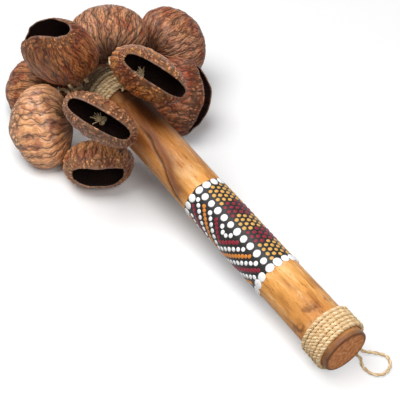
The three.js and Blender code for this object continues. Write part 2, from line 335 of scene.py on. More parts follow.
class ShellSettings(bpy.types.PropertyGroup):
    """Looks of the seed shells"""
    creases: count("Creases", "Long creases in each of two sets round a shell", 23)
    wrinkles: count("Wrinkles", "Fine wrinkles round a shell", 92)
    skin_depth: length("Skin depth", "Depth of the finest creases and grain", 0.3)
    fold_height: length("Fold height", "Height of the folds between the creases", 0.5)
    wrinkle_height: length("Wrinkle height", "Height of the fine wrinkles", 0.25)
    pebble_height: length("Pebble height", "Height of the pebbles round the mouth", 0.35)
    pebble_width: length("Pebble width", "Width of the pebbles round the mouth", 1.6)
    lump_height: length("Lump height", "Height of the broad lumps", 0.6)
    dark: colour("Dark skin", "Skin of the darkest shells", "#743a1e")
    pale: colour("Pale skin", "Skin of the palest shell", "#f4b784")
    russet: colour("Russet", "Redder patches", "#85361a")
    grey: colour("Grey", "Greyer patches", "#92685a")
    golden: colour("Golden", "Where handling has worn the shell golden", "#c27a34")
    # Painted shade at the bottoms of the creases
    crease: colour("Crease", "Bottoms of the creases", "#2c120a")
    edge: colour("Sawn edge", "Dry sawn edge of the mouth", "#96796a")
    # The hollow's dark colour is partly painted shade inside the shell
    hollow: colour("Hollow", "Dark inside", "#220f09")


class StageSettings(bpy.types.PropertyGroup):
    """Floor and light"""
    floor: colour("Floor", "Pale floor", "#9c9c9c")
    lift: number("Lift", "How much lighter the floor is to the camera", 3.0)
    key_power: number("Key power", "Power of the key lamp", 12.5, unit="POWER")
    fill_power: number("Fill power", "Power of the fill lamp", 3.7, unit="POWER")
    sky: number("Sky", "Strength of the even light all round", 0.12)


# Nodes

def linked(value):
    return isinstance(value, bpy.types.NodeSocket)


def feed(node, links):
    """Links or sets inputs of a node, by name or number."""
    for key, value in links.items():
        if linked(value):
            node.id_data.links.new(value, node.inputs[key])
        else:
            node.inputs[key].default_value = value


def add(tree, kind, links=None, **settings):
    """Adds a node with its settings, and links or sets its inputs."""
    node = tree.nodes.new(kind)
    for key, value in settings.items():
        setattr(node, key, value)
    feed(node, links or {})
    return node


def made(kind, links, output=0, **settings):
    """An output of a new node, in the tree that its linked values are in."""
    tree = next(value.id_data for value in links.values() if linked(value))
    return add(tree, kind, links, **settings).outputs[output]


def maths(operation, first, second=0.0):
    return made("ShaderNodeMath", {0: first, 1: second}, operation=operation)


def times(first, second):
    return maths("MULTIPLY", first, second)


def plus(first, second):
    return maths("ADD", first, second)


def minus(first, second):
    return maths("SUBTRACT", first, second)


def larger(first, second):
    return maths("MAXIMUM", first, second)


def eased(value, low, high, start=0.0, end=1.0):
    """A value eased from one range to another."""
    links = {0: value, 1: low, 2: high, 3: start, 4: end}
    return made("ShaderNodeMapRange", links, interpolation_type="SMOOTHSTEP")


def smooth_step(value, low, high, start, end):
    """A plain number eased from one range to another, as a node would ease it."""
    share = min(max((value - low) / (high - low), 0.0), 1.0)
    return start + (end - start) * share * share * (3 - 2 * share)


def scaled(vector, scale):
    return made("ShaderNodeVectorMath", {0: vector, 1: scale}, operation="MULTIPLY")


def shifted(vector, offset):
    return made("ShaderNodeVectorMath", {0: vector, 1: offset}, operation="ADD")


def stretched(vector, factor):
    return made("ShaderNodeVectorMath", {0: vector, "Scale": factor}, operation="SCALE")


def split(vector):
    """The three parts of a vector."""
    return add(vector.id_data, "ShaderNodeSeparateXYZ", {0: vector}).outputs


def joined(*parts):
    """A vector from its parts."""
    return made("ShaderNodeCombineXYZ", dict(enumerate(parts)))


def noise(vector, size, detail=3.0, roughness=0.55, output=0):
    """Noise whose lumps are about size across, in the units of the vector, as a value or as three."""
    links = {"Vector": vector, "Scale": 1 / size, "Detail": detail, "Roughness": roughness}
    return made("ShaderNodeTexNoise", links, output)


def ramp(value, stops):
    """A colour ramp from pairs of place and colour."""
    node = add(value.id_data, "ShaderNodeValToRGB", {0: value})
    while len(node.color_ramp.elements) < len(stops):
        node.color_ramp.elements.new(0.5)
    for element, (place, tint) in zip(node.color_ramp.elements, stops):
        element.position = place
        element.color = (*tint[:3], 1.0)
    return node.outputs[0]


def blended(share, first, second, mode="MIX"):
    """Two colours mixed by a share."""
    first, second = (tint if linked(tint) else (*tint[:3], 1.0) for tint in (first, second))
    links = {0: share, 6: first, 7: second}
    return made("ShaderNodeMix", links, 2, data_type="RGBA", blend_type=mode)


def layered(tint, *coats):
    """A colour with others laid over it in turn, each by its share."""
    for share, coat in coats:
        tint = blended(share, tint, coat)
    return tint


def attribute(tree, name, output="Fac"):
    return add(tree, "ShaderNodeAttribute", attribute_name=name).outputs[output]


def object_millimetres(tree):
    return scaled(add(tree, "ShaderNodeTexCoord").outputs["Object"], (1 / MM,) * 3)


def bumped(shader, height, depth):
    """Gives the shader a bump whose depth is in millimetres."""
    links = {"Height": height, "Distance": depth * MM, "Strength": 1.0}
    feed(shader, {"Normal": made("ShaderNodeBump", links)})


def blank_material(name):
    material = bpy.data.materials.new(name)
    material.use_nodes = True
    material.node_tree.nodes.clear()
    return material, material.node_tree


def new_material(name):
    material, tree = blank_material(name)
    shader = add(tree, "ShaderNodeBsdfPrincipled")
    add(tree, "ShaderNodeOutputMaterial", {"Surface": shader.outputs[0]})
    return material, tree, shader


def given(tree, name, kind="FLOAT"):
    """A mesh attribute in a geometry tree."""
    return add(tree, "GeometryNodeInputNamedAttribute", {"Name": name}, data_type=kind).outputs[0]


def stored(geometry, name, value):
    return made("GeometryNodeStoreNamedAttribute", {"Geometry": geometry, "Name": name, "Value": value})


def pushed(geometry, offset):
    return made("GeometryNodeSetPosition", {"Geometry": geometry, "Offset": offset})


def random_vector(tree, low, high, seed):
    links = {0: low, 1: high, "Seed": seed}
    return add(tree, "FunctionNodeRandomValue", links, data_type="FLOAT_VECTOR").outputs[0]


def planted(points, instance, way, more=None):
    """An instance on each point, with its Z turned to a way."""
    turn = made("FunctionNodeAlignRotationToVector", {"Vector": way}, axis="Z")
    links = {"Points": points, "Instance": instance, "Rotation": turn, **(more or {})}
    return made("GeometryNodeInstanceOnPoints", links)


def new_tree(name, material, *numbers):
    """An empty geometry tree with named inputs, and its first and last nodes."""
    tree = bpy.data.node_groups.new(name, "GeometryNodeTree")
    tree.interface.new_socket("Geometry", in_out="OUTPUT", socket_type="NodeSocketGeometry")
    kinds = {"Geometry": "Geometry", **dict.fromkeys(numbers, "Float"), material: "Material"}
    for label, kind in kinds.items():
        tree.interface.new_socket(label, in_out="INPUT", socket_type="NodeSocket" + kind)
    return tree, add(tree, "NodeGroupInput").outputs, add(tree, "NodeGroupOutput")


def finish_tree(last, geometry, material):
    """Ends a tree in real geometry with a material."""
    real = made("GeometryNodeRealizeInstances", {0: geometry})
    feed(last, {0: made("GeometryNodeSetMaterial", {"Geometry": real, "Material": material})})
    return last.id_data


# Meshes and pieces

def climb(value, start, end):
    """0 before a start and 1 past an end, straight between them."""
    return np.clip((value - start) / (end - start), 0, 1)


def grid_faces(rows, columns, looped=False):
    """Quads between rows of points, each row closed, and the last row joined to the first if looped."""
    row = np.arange(rows if looped else rows - 1)[:, None]
    above = (row + 1) % rows
    column = np.arange(columns)[None, :]
    after = (column + 1) % columns
    corners = ((row, column), (row, after), (above, after), (above, column))
    return np.stack([r * columns + c for r, c in corners], -1).reshape(-1, 4)


def make_mesh(name, points, faces=(), attributes=None, edges=()):
    """A mesh of points in millimetres, with point attributes."""
    mesh = bpy.data.meshes.new(name)
    mesh.from_pydata((np.asarray(points).reshape(-1, 3) * MM).tolist(), edges, np.asarray(faces).tolist())
    for key, values in (attributes or {}).items():
        values = np.asarray(values, np.float32)
        kind, field = ("FLOAT", "value")
        if values.ndim > 1 and values.shape[-1] == 3:
            kind, field = ("FLOAT_VECTOR", "vector")
        mesh.attributes.new(key, kind, "POINT").data.foreach_set(field, values.ravel())
    mesh.shade_smooth()
    return mesh


def make_object(name, mesh, *materials):
    piece = bpy.data.objects.new(name, mesh)
    bpy.context.scene.collection.objects.link(piece)
    for material in materials:
        piece.data.materials.append(material)
    return piece


def settle(piece, body, slot, *nodes):
    """Makes a finished piece ride on its body, and stand for its solids."""
    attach(piece, body)
    if nodes:
        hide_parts(*nodes)


def grown(name, mesh, tree, inputs):
    """The plain mesh that a node tree makes of a mesh."""
    host = make_object(name + "_host", mesh)
    modifier = host.modifiers.new("grow", "NODES")
    modifier.node_group = tree
    for item in tree.interface.items_tree:
        if item.in_out == "INPUT" and item.name in inputs:
            modifier[item.identifier] = inputs[item.name]
    graph = bpy.context.evaluated_depsgraph_get()
    result = bpy.data.meshes.new_from_object(host.evaluated_get(graph), preserve_all_data_layers=True,
                                             depsgraph=graph)
    host.modifiers.remove(modifier)
    bpy.data.objects.remove(host)
    bpy.data.meshes.remove(mesh)
    result.name = name
    result.shade_smooth()
    return result


def on_stick(station, radius, angle):
    """A point beside the stick, in the row frame. The angle is in degrees from +Y, with 90 on top."""
    turn = np.radians(angle)
    out = np.multiply.outer(np.sin(turn), UP) + np.multiply.outer(np.cos(turn), SIDE)
    return BUTT + np.multiply.outer(station, ALONG) + np.asarray(radius)[..., None] * out


def between(t, start, end, first, last):
    """Points on the way from a first to a last, as a time goes from a start to an end."""
    return (end - t) / (end - start) * first + (t - start) / (end - start) * last


def smooth_route(points, step):
    """Points along a centripetal Catmull-Rom curve, about a step apart."""
    points = np.asarray(points, float)
    ends = (2 * points[0] - points[1], *points, 2 * points[-1] - points[-2])
    line = []
    for a, b, c, d in zip(ends, ends[1:], ends[2:], ends[3:]):
        spans = ((a, b), (b, c), (c, d))
        knots = np.cumsum([0.0, *(math.sqrt(np.linalg.norm(q - p)) for p, q in spans)])
        steps = max(2, math.ceil(np.linalg.norm(c - b) / step))
        t = np.linspace(knots[1], knots[2], steps, endpoint=False)[:, None]
        first = [between(t, *knots[i:i + 2], *span) for i, span in enumerate(spans)]
        second = [between(t, knots[i], knots[i + 2], *first[i:i + 2]) for i in (0, 1)]
        line.append(between(t, *knots[1:3], *second))
    return np.concatenate([*line, points[-1:]])


# Materials

def waxed_wood(settings):
    """Branch wood, peeled, stained and waxed: satin streaks and short dark flecks, a crease and a stained
    butt, with painted shade in the crease, under the shells and on the neck."""
    material, tree, shader = new_material("waxed_branch_wood")
    place = attribute(tree, "stick", "Vector")
    station = split(place)[0]
    # Streaks are some 25 mm long and 1.5 mm wide, and flecks some 6 mm long and 0.5 mm wide
    bend = noise(scaled(place, (0.06, 0.22, 0.22)), 1.0, 2.0, output=1)
    grain = noise(shifted(scaled(place, (0.04, 0.5, 0.5)), scaled(bend, (1.6,) * 3)), 1.0, 5.0, 0.65)
    fine = noise(shifted(scaled(place, (0.17, 1.9, 1.9)), scaled(bend, (2.5,) * 3)), 1.0)
    patch = noise(scaled(place, (0.035, 0.1, 0.1)), 1.0, 2.0)
    smudge = noise(scaled(place, (0.12, 0.14, 0.14)), 1.0)
    low = eased(station, *GRIP_STAIN)
    tint = layered(
        ramp(grain, ((0.3, settings.dark), (0.45, settings.honey), (0.55, settings.honey),
                     (0.7, settings.pale))),
        (eased(patch, 0.5, 0.68, 0.0, 0.6), settings.pale),
        (eased(patch, 0.5, 0.3, 0.0, 0.6), settings.tan),
        (eased(fine, 0.57, 0.7, 0.0, 0.65), settings.dark),
        # Near the grip winding the stain is redder, with dark smudges
        (times(low, 0.35), settings.red),
        (times(times(low, eased(smudge, 0.5, 0.68)), 0.85), settings.smudge),
    )
    # The wood is made darker towards the shells, and the painted shadow below darkens most the side under
    # the largest of them
    tint = blended(eased(station, *FIRST_DARKENING), tint, (0.66, 0.6, 0.62), "MULTIPLY")
    tint = blended(eased(station, *DARKENED), tint, (0.62, 0.5, 0.42), "MULTIPLY")
    painted_shadow = attribute(tree, "painted_shadow")
    butt = attribute(tree, "butt")
    mottle = noise(place, 2.2, 4.0)
    tint = layered(
        tint,
        # Painted shadow of the largest shell, and painted shade on the neck
        (painted_shadow, settings.painted_shadow),
        (eased(station, *BUTT_HEM, 0.0, 0.8), settings.hem),
        # The crease's bottom is painted nearly black, as shade in the groove, with a purplish strip beside
        # it
        (times(attribute(tree, "strip"), 0.85), settings.strip),
        (times(attribute(tree, "crease"), 0.9), settings.crease),
        # The butt is stained end grain, dry and mottled, with a dark rim
        (butt, ramp(mottle, ((0.32, settings.butt_dark), (0.5, settings.butt), (0.7, settings.butt_pale)))),
        (times(attribute(tree, "rim"), 0.75), settings.rim),
    )
    feed(shader, {
        "Base Color": tint,
        "Roughness": larger(eased(grain, 0.2, 0.8, 0.5, 0.36), times(butt, 0.85)),
        "IOR": 1.48,
        "Specular IOR Level": eased(painted_shadow, 0.0, 0.6, 0.2, 0.03),
    })
    bumped(shader, fine, 0.12)
    return material


def paint(name, tint, roughness):
    """Acrylic paint laid on by hand: a satin film with faint brush marks."""
    material, tree, shader = new_material(name)
    mark = noise(object_millimetres(tree), 1.4)
    darker = tuple(0.88 * part for part in tint)
    feed(shader, {
        "Base Color": blended(eased(mark, 0.3, 0.7), darker, tint),
        "Roughness": eased(mark, 0.2, 0.8, roughness - 0.08, roughness + 0.1),
        "IOR": 1.49,
        "Specular IOR Level": 0.3,
    })
    bumped(shader, mark, 0.06)
    return material


def raw_twine(settings):
    """Plant-fibre twine, twisted from two plies: dull straw with fine lengthwise fibres, painted shade in
    their clefts and painted glints.
    """
    material, tree, shader = new_material("raw_plant_twine")
    along = times(attribute(tree, "along"), 1 / MM)
    # Fibres are drawn about 0.5 mm wide, coarser than real ones, so that they show
    fibre = noise(joined(times(along, 0.35), times(attribute(tree, "around"), 7.0)), 1.0, 4.0, 0.6)
    patch = noise(object_millimetres(tree), 7.0, 2.0)
    tint = layered(
        # The fibres run from painted shade through straw to painted glints
        ramp(fibre, ((0.25, settings.shade), (0.48, settings.straw), (0.72, settings.glint))),
        (eased(patch, 0.5, 0.75, 0.0, 0.3), settings.ruddy),
        (times(attribute(tree, "ply"), 0.5), settings.ruddy),
        # Painted shade on the binding and on the cords near their roots
        (attribute(tree, "painted_shade"), settings.painted_shade),
    )
    feed(shader, {"Base Color": tint, "Roughness": 0.85, "Specular IOR Level": 0.1, "Sheen Weight": 0.05})
    bumped(shader, fibre, 0.15)
    return material


def skin_lines(turn, lines, *sways):
    """How far a place is from the nearest of some lines along a shell: 0 on a line, and 1 midway."""
    lead = times(turn, lines)
    for shift, sway in sways:
        lead = plus(lead, times(shift, sway))
    return times(maths("PINGPONG", lead, 0.5), 2.0)


def skin_fields(vein, place, settings):
    """A shell's skin, from coordinates round it and along it: thin creases, folds between them, wrinkles and
    pebbles. Each is 0 in its clefts and 1 on its tops."""
    parts = split(vein)
    turn = maths("DIVIDE", maths("ARCTAN2", parts[1], parts[0]), 2 * math.pi)
    shifts = split(noise(scaled(place, (1.0, 1.0, 0.75)), 11.0, 2.0, output=1))
    # Two sets of long creases cross at small angles, which leaves lens-shaped folds, and fade here and there
    first = skin_lines(turn, settings.creases, (shifts[0], 2.2))
    second = skin_lines(turn, settings.creases - 2, (shifts[1], 2.8))
    edge = maths("MINIMUM", first, second)
    fade = noise(place, 6.0, 2.0)
    crease = larger(eased(edge, 0.0, 0.15), eased(fade, 0.5, 0.64, 0.0, 0.9))
    # Fine wrinkles follow them, broken by streaks
    small = noise(place, 3.6, 1.0)
    wrinkle = skin_lines(turn, settings.wrinkles, (shifts[0], 8.5), (small, 2.0))
    streak = noise(scaled(place, (1.0, 1.0, 0.3)), 1.2, 2.0)
    wrinkle = blended(eased(fade, 0.4, 0.6, 0.3, 0.6), wrinkle, eased(streak, 0.38, 0.62))
    links = {"Vector": scaled(place, (1.0, 1.0, 0.6)), "Scale": MM / settings.pebble_width}
    cells = made("ShaderNodeTexVoronoi", links, "Distance")
    return crease, eased(edge, 0.0, 0.6), wrinkle, eased(cells, 0.62, 0.12)


def oiled_shell(settings, name, tone, gold):
    """Seed shell, dried and oiled by hand: satin folded red-brown skin with thin creases painted dark as
    shade, fine wrinkles, pebbled lips, a dry sawn edge and a dark hollow with painted shade, and painted
    light and shade on its folds, wrinkles, pebbles and closed end."""
    material, tree, shader = new_material(name)
    vein = attribute(tree, "vein", "Vector")
    drift = attribute(tree, "drift", "Vector")
    crease, fold, wrinkle, pebble = skin_fields(vein, shifted(vein, drift), settings)
    mouth = eased(attribute(tree, "edge"), LIP_FADE, LIP_WIDTH)
    rim = attribute(tree, "rim")
    inside = attribute(tree, "inside")
    place = object_millimetres(tree)
    broad = noise(place, 13.0)
    patch = noise(scaled(place, (1.0, -1.0, 1.0)), 6.0, 4.0)
    # Each shell has its own tone, with broad redder and greyer patches and worn golden places
    tint = layered(
        [dark + tone * (pale - dark) for dark, pale in zip(settings.dark, settings.pale)],
        (eased(broad, 0.52, 0.4, 0.0, 0.4 * (1 - gold)), settings.grey),
        (eased(broad, 0.6, 0.4, 0.2 * gold, gold), settings.golden),
        (eased(broad, 0.46, 0.64, 0.0, 0.7), settings.russet),
        (eased(patch, 0.5, 0.68, 0.0, 0.55), settings.russet),
    )
    # Painted light and shade: the tops of the folds, wrinkles and pebbles are painted lighter and their
    # clefts darker, and a pale shell's skin is plainer
    plain = smooth_step(tone, 0.5, 1.0, 0.0, 0.5)
    lips = plus(times(pebble, 0.6), times(wrinkle, 0.4))
    grain = blended(mouth, blended(plain, wrinkle, (0.7,) * 3), eased(lips, 0.2, 0.75))
    shade = times(eased(grain, 0.05, 0.95, 0.44, 1.38), eased(fold, 0.0, 1.0, 0.68 + 0.2 * plain, 1.14))
    # The closed end is painted darker, as shade inside the bunch
    closed_end_shade = eased(split(vein)[2], 5.0, 26.0, 0.35, 1.0)
    # The creases are painted nearly black, as shade in them, and fainter on the lips
    black = smooth_step(tone, 0.2, 1.0, 0.75, 0.9)
    depth = eased(mouth, 0.0, 1.0, 0.9 * black, 0.3 * black)
    tint = layered(
        stretched(tint, times(shade, closed_end_shade)),
        (times(minus(1.0, crease), depth), settings.crease),
        (times(rim, eased(patch, 0.35, 0.65, 0.15, 0.75)), settings.edge),
        # The hollow is painted dark, partly as shade inside the shell
        (inside, settings.hollow),
    )
    feed(shader, {
        "Base Color": tint,
        "Roughness": larger(eased(grain, 0.0, 1.0, 0.5, 0.28), times(larger(inside, rim), 0.8)),
        "IOR": 1.52,
        "Specular IOR Level": smooth_step(tone, 0.5, 1.0, 0.2, 0.55),
    })
    rough = times(pebble, eased(mouth, 0.0, 1.0, 0.1, 1.0))
    height = plus(times(crease, 0.4), times(grain, 0.7))
    bumped(shader, plus(height, rough), settings.skin_depth / MM)
    return material


# Stick

def stick_radius(station):
    return BUTT_RADIUS + (HEAD_RADIUS - BUTT_RADIUS) * station / STICK_LENGTH


def stick_angles():
    """Angles round the stick in one row."""
    return np.linspace(0, 360, STICK_SIDES, endpoint=False)[None, :]


def waves(station, angle, waviness):
    """How far the branch swells from a true round. It is true near the winding and on the neck."""
    turn = np.radians(angle)
    swell = (0.6 * np.sin(station / 31 + 1) * np.cos(turn - 0.6) + 0.4 * np.sin(station / 17 + 2 * turn)
             + 0.3 * np.cos(3 * turn + station / 45))
    return waviness * swell * climb(station, *WAVES_START) * climb(station, *WAVES_END)


def crease(station, angle):
    """The natural crease: the share of its depth and of its strip, at a station and angle on the stick."""
    ends = climb(station, *CREASE_START) * climb(station, *CREASE_END)
    across = np.radians(np.interp(station, *CREASE_ANGLE) - angle) * BUTT_RADIUS
    wander = 0.5 * np.sin(station / 5.3) + 0.4 * np.sin(station / 2.9 + 1)
    line = np.exp(-((across + 0.5 * wander) / np.interp(station, *CREASE_REACH)) ** 2) * ends
    breadth = np.interp(station, *STRIP_BREADTH)
    strip = np.exp(-((across - breadth - 0.4) / breadth) ** 2) * ends
    return line, strip


def stick_outline():
    """Pairs of radius and station along the stick, from the butt's middle to the head's."""
    flat_butt = BUTT_RADIUS - END_ROUND
    flat_head = NECK_RADIUS - END_ROUND
    cap = [(share * flat_butt, 0.0) for share in np.linspace(0, 1, 12)]
    corner = [(flat_butt + END_ROUND * math.sin(bend), END_ROUND - END_ROUND * math.cos(bend))
              for bend in np.radians(np.linspace(15, 90, 6))]
    body = []
    for station in np.arange(END_ROUND + STICK_STEP, STICK_LENGTH - END_ROUND, STICK_STEP):
        radius = stick_radius(station)
        if BAND_START < station < BAND_END:
            radius -= BAND_SINK
        slope = climb(station, SHOULDER - SHOULDER_LENGTH, SHOULDER)
        body.append((radius + (NECK_RADIUS - radius) * slope * slope * (3 - 2 * slope), station))
    head = [(flat_head + END_ROUND * math.cos(bend), STICK_LENGTH - END_ROUND + END_ROUND * math.sin(bend))
            for bend in np.radians(np.linspace(0, 90, 6))]
    tip = [(share * flat_head, STICK_LENGTH) for share in np.linspace(0.9, 0, 8)]
    return cap + corner + body + head + tip


def carve_stick(context):
    settings = context.scene.rattle_stick
    outline = np.array(stick_outline())
    plain, station = outline[:, :1], outline[:, 1:]
    angle = stick_angles()
    line, strip = crease(station, angle)
    depth = settings.crease_depth / MM
    offset = waves(station, angle, settings.waviness / MM) - depth * line - STRIP_DEPTH * depth * strip
    radius = plain + offset * np.clip(plain / (NECK_RADIUS - END_ROUND), 0, 1)
    stations, angles = (np.broadcast_to(field, radius.shape) for field in (station, angle))
    turn = np.radians(angles)
    rim = np.exp(-((radius - BUTT_RADIUS + 0.9) / 1.1) ** 2) * np.exp(-(stations / 0.6) ** 2)
    # Painted shadow: the largest shell's shadow is painted on the side towards the camera, and the neck is
    # painted darker as shade among the shells
    towards = climb(np.cos(turn - math.radians(FACING - 90)), -0.05, 0.45)
    painted_shadow = np.maximum(0.9 * climb(stations, *UNDER_SHELLS) * towards,
                       np.minimum(climb(stations, *NECK_SHADE), 0.85))
    attributes = {"stick": np.stack((stations, radius * np.sin(turn), radius * np.cos(turn)), -1),
                  "crease": line, "strip": strip, "rim": rim, "painted_shadow": painted_shadow,
                  "butt": np.broadcast_to(station < 0.15, radius.shape)}
    # Rows run from the butt to the head, and the angle from the side to the top, so faces turn inwards
    faces = grid_faces(len(outline), STICK_SIDES)
    mesh = make_mesh("wooden_stick", on_stick(stations, radius, angles), faces, attributes)
    shape = bmesh.new()
    shape.from_mesh(mesh)
    bmesh.ops.remove_doubles(shape, verts=shape.verts, dist=0.01 * MM)
    bmesh.ops.recalc_face_normals(shape, faces=shape.faces)
    shape.to_mesh(mesh)
    shape.free()
    settle(make_object("wooden_stick", mesh, waxed_wood(settings)), "stick", "wood", "handle")


# Band

def band_radius(station, angle):
    waviness = bpy.context.scene.rattle_stick.waviness / MM
    return stick_radius(station) + BAND_PROUD + waves(station, angle, waviness)


def band_place(station, across):
    """A point on the band and the way out there, from a station and an arc. The arc starts at the side that
    faces the camera."""
    angle = FACING - np.degrees(np.asarray(across, float) / (stick_radius(station) + BAND_PROUD))
    radius = band_radius(station, angle)
    point = on_stick(station, radius, angle)
    return point, on_stick(station, radius + 1, angle) - point


def dotted_layout(settings):
    """Dots as colour, station, arc and diameter: rings, lines, a striped field and nested chevrons."""
    large = settings.large_dot / MM
    middle = settings.middle_dot / MM
    small = settings.small_dot / MM
    band_middle = (BAND_START + BAND_END) / 2
    girth = 2 * math.pi * stick_radius(band_middle)
    half = girth / 2
    width = half - 1.7 * large
    dots = []
    # A ring of large dots closes each end. Those on the butt's side lie on the coat's edge and run together.
    rings = ((BAND_START + 0.4, 1.14 * large, 0.98), (BAND_END - 0.42 * large, large, 1.13))
    for station, size, spread in rings:
        steps = round(girth / (size * spread))
        dots += [("white", station, girth * index / steps, size) for index in range(steps)]
    # A line of large dots runs lengthwise on two sides
    first, last = BAND_START + 1.25 * large, BAND_END - 1.6 * large
    steps = round((last - first) / (large * 1.3))
    for index in range(steps + 1):
        for across in (0.0, half):
            dots.append(("white", first + (last - first) * index / steps, across, large * 0.95))
    # One half is a field of small dots in stripes round the stick
    low, high = BAND_START + 0.9 * large, BAND_END - 1.0 * large
    pitch = 1.5 * small
    lane = 1.24 * small
    for row in range(int(width / lane) + 1):
        across = 0.9 * large + row * lane
        for column in range(int((high - low) / pitch) + 1):
            station = low + (column + 0.5 * (row % 2)) * pitch
            stripe = math.floor((station + 0.1 * across - BAND_START - STRIPE_LEAD) / STRIPE_WIDTH)
            if station < high:
                dots.append(("maroon" if stripe in (0, 2) else "ochre", station, across, small))
    # The other half has nested half diamonds about a point on the line: white lines, with colours between
    for line in range(CHEVRON_LINES):
        tint = ("orange", "white", "maroon", "white")[line % 4]
        size, spread = (middle, 1.2) if tint == "white" else (1.06 * small, 0.98)
        step = size * spread / math.hypot(1, CHEVRON_SLOPE)
        reach = (line + 0.5) * 2.05 * middle
        for index in range(int(width / step) + 1):
            across = 0.85 * large + index * step
            drop = reach - CHEVRON_SLOPE * across
            for way in (-1, 1):
                station = band_middle + CHEVRON_SHIFT + way * drop
                if low <= station <= high and drop >= 0:
                    dots.append((tint, station, -across, size))
    return dots


def dot_tree():
    """Sets a flattened drop of paint on each point, turned to face outwards."""
    tree, first, last = new_tree("paint_dots", "Paint", "Height")
    drop = add(tree, "GeometryNodeMeshUVSphere", {"Segments": 14, "Rings": 8, "Radius": 1.0}).outputs[0]
    # Hand-set dots differ a little in size and are not quite round
    uneven = random_vector(tree, (0.88, 0.88, 0.8), (1.08, 1.08, 1.2), 5)
    scale = stretched(scaled(uneven, joined(1.0, 1.0, first["Height"])), given(tree, "size"))
    dots = planted(first["Geometry"], drop, given(tree, "out", "FLOAT_VECTOR"), {"Scale": scale})
    return finish_tree(last, dots, first["Paint"])


def paint_band(context):
    settings = context.scene.rattle_band
    station = np.linspace(BAND_START, BAND_END, BAND_ROWS)[:, None]
    angle = stick_angles()
    radius = band_radius(station, angle)
    stations = np.broadcast_to(station, radius.shape).copy()
    # The brushed ends of the coat wander a little, and go down into the wood
    turn = np.radians(angle[0])
    wander = 0.35 * np.sin(turn * 5 + 1) + 0.25 * np.sin(turn * 11)
    stations[0] += wander - EDGE_WANDER
    stations[-1] += EDGE_WANDER - wander
    inner = [np.full_like(radius[:1], stick_radius(s) - BAND_SINK + 0.05) for s in (BAND_START, BAND_END)]
    radius = np.concatenate((inner[0], radius[:1] - EDGE_ROUND, radius, radius[-1:] - EDGE_ROUND, inner[1]))
    before = [stations[:1] - lap for lap in EDGE_LAPS]
    after = [stations[-1:] + lap for lap in reversed(EDGE_LAPS)]
    stations = np.concatenate((*before, stations, *after))
    points = on_stick(stations, radius, np.broadcast_to(angle, radius.shape))
    mesh = make_mesh("painted_coat", points, grid_faces(len(radius), STICK_SIDES, looped=True)[:, ::-1])
    coat = make_object("painted_coat", mesh, paint("black_paint", settings.ground, COAT_ROUGHNESS))
    settle(coat, "stick", "paint", "painted_band")
    tree = dot_tree()
    layout = dotted_layout(settings)
    for tint in ("white", "maroon", "orange", "ochre"):
        chosen = [dot for dot in layout if dot[0] == tint]
        places = [band_place(station, across) for _, station, across, _ in chosen]
        attributes = {"size": [dot[3] / 2 * MM for dot in chosen], "out": [place[1] for place in places]}
        mesh = make_mesh("dots", [place[0] for place in places], attributes=attributes)
        finish = paint(tint + "_paint", getattr(settings, tint), DOT_ROUGHNESS)
        dots = grown(tint + "_dots", mesh, tree, {"Height": settings.dot_height, "Paint": finish})
        settle(make_object(tint + "_dots", dots), "stick", "paint")


# Twine

def twine_tree():
    """Lays two plies round each other along each line, with uneven fibres and loose hairs."""
    tree, first, last = new_tree("twine_lay", "Twine", "Diameter", "Lay", "Fibre", "Hairs", "Hair length")
    line = made("GeometryNodeMeshToCurve", {0: first["Geometry"]})
    along = add(tree, "GeometryNodeSplineParameter").outputs["Length"]
    tangent = add(tree, "GeometryNodeInputTangent").outputs[0]
    normal = add(tree, "GeometryNodeInputNormal").outputs[0]
    across = made("ShaderNodeVectorMath", {0: tangent, 1: normal}, operation="CROSS_PRODUCT")
    turn = times(maths("DIVIDE", along, first["Lay"]), 2 * math.pi)
    links = {"Resolution": TWINE_SIDES, "Radius": times(first["Diameter"], PLY_RADIUS)}
    step = add(tree, "GeometryNodeInputIndex").outputs[0]
    ring = made("GeometryNodeCurvePrimitiveCircle", links)
    ring = stored(ring, "around", maths("DIVIDE", step, TWINE_SIDES))
    reach = times(first["Diameter"], PLY_REACH)
    plies = add(tree, "GeometryNodeJoinGeometry")
    for phase in (0.0, math.pi):
        lead = plus(turn, phase)
        offset = shifted(*(stretched(way, times(maths(wave, lead), reach))
                           for way, wave in ((normal, "COSINE"), (across, "SINE"))))
        ply = stored(stored(line, "along", plus(along, phase)), "ply", phase / math.pi)
        links = {"Curve": pushed(ply, offset), "Profile Curve": ring, "Fill Caps": True}
        feed(plies, {0: made("GeometryNodeCurveToMesh", links)})
    rough = noise(add(tree, "GeometryNodeInputPosition").outputs[0], 1.1 * MM, 2.0)
    swell = times(minus(rough, 0.5), first["Fibre"])
    body = pushed(plies.outputs[0], stretched(normal, times(swell, 2.0)))
    # Hairs stand out of the plies at a slant
    links = {"Mesh": body, "Density": first["Hairs"], "Seed": 3}
    spots = add(tree, "GeometryNodeDistributePointsOnFaces", links).outputs
    links = {"Vertices": 3, "Radius Top": HAIR_TIP * MM, "Radius Bottom": HAIR_ROOT * MM,
             "Depth": first["Hair length"]}
    hair = made("GeometryNodeMeshCone", links, fill_type="NONE")
    way = shifted(random_vector(tree, (-1, -1, -1), (1, 1, 1), 8), spots["Normal"])
    whole = add(tree, "GeometryNodeJoinGeometry")
    feed(whole, {0: planted(spots["Points"], hair, way)})
    feed(whole, {0: body})
    return finish_tree(last, whole.outputs[0], first["Twine"])


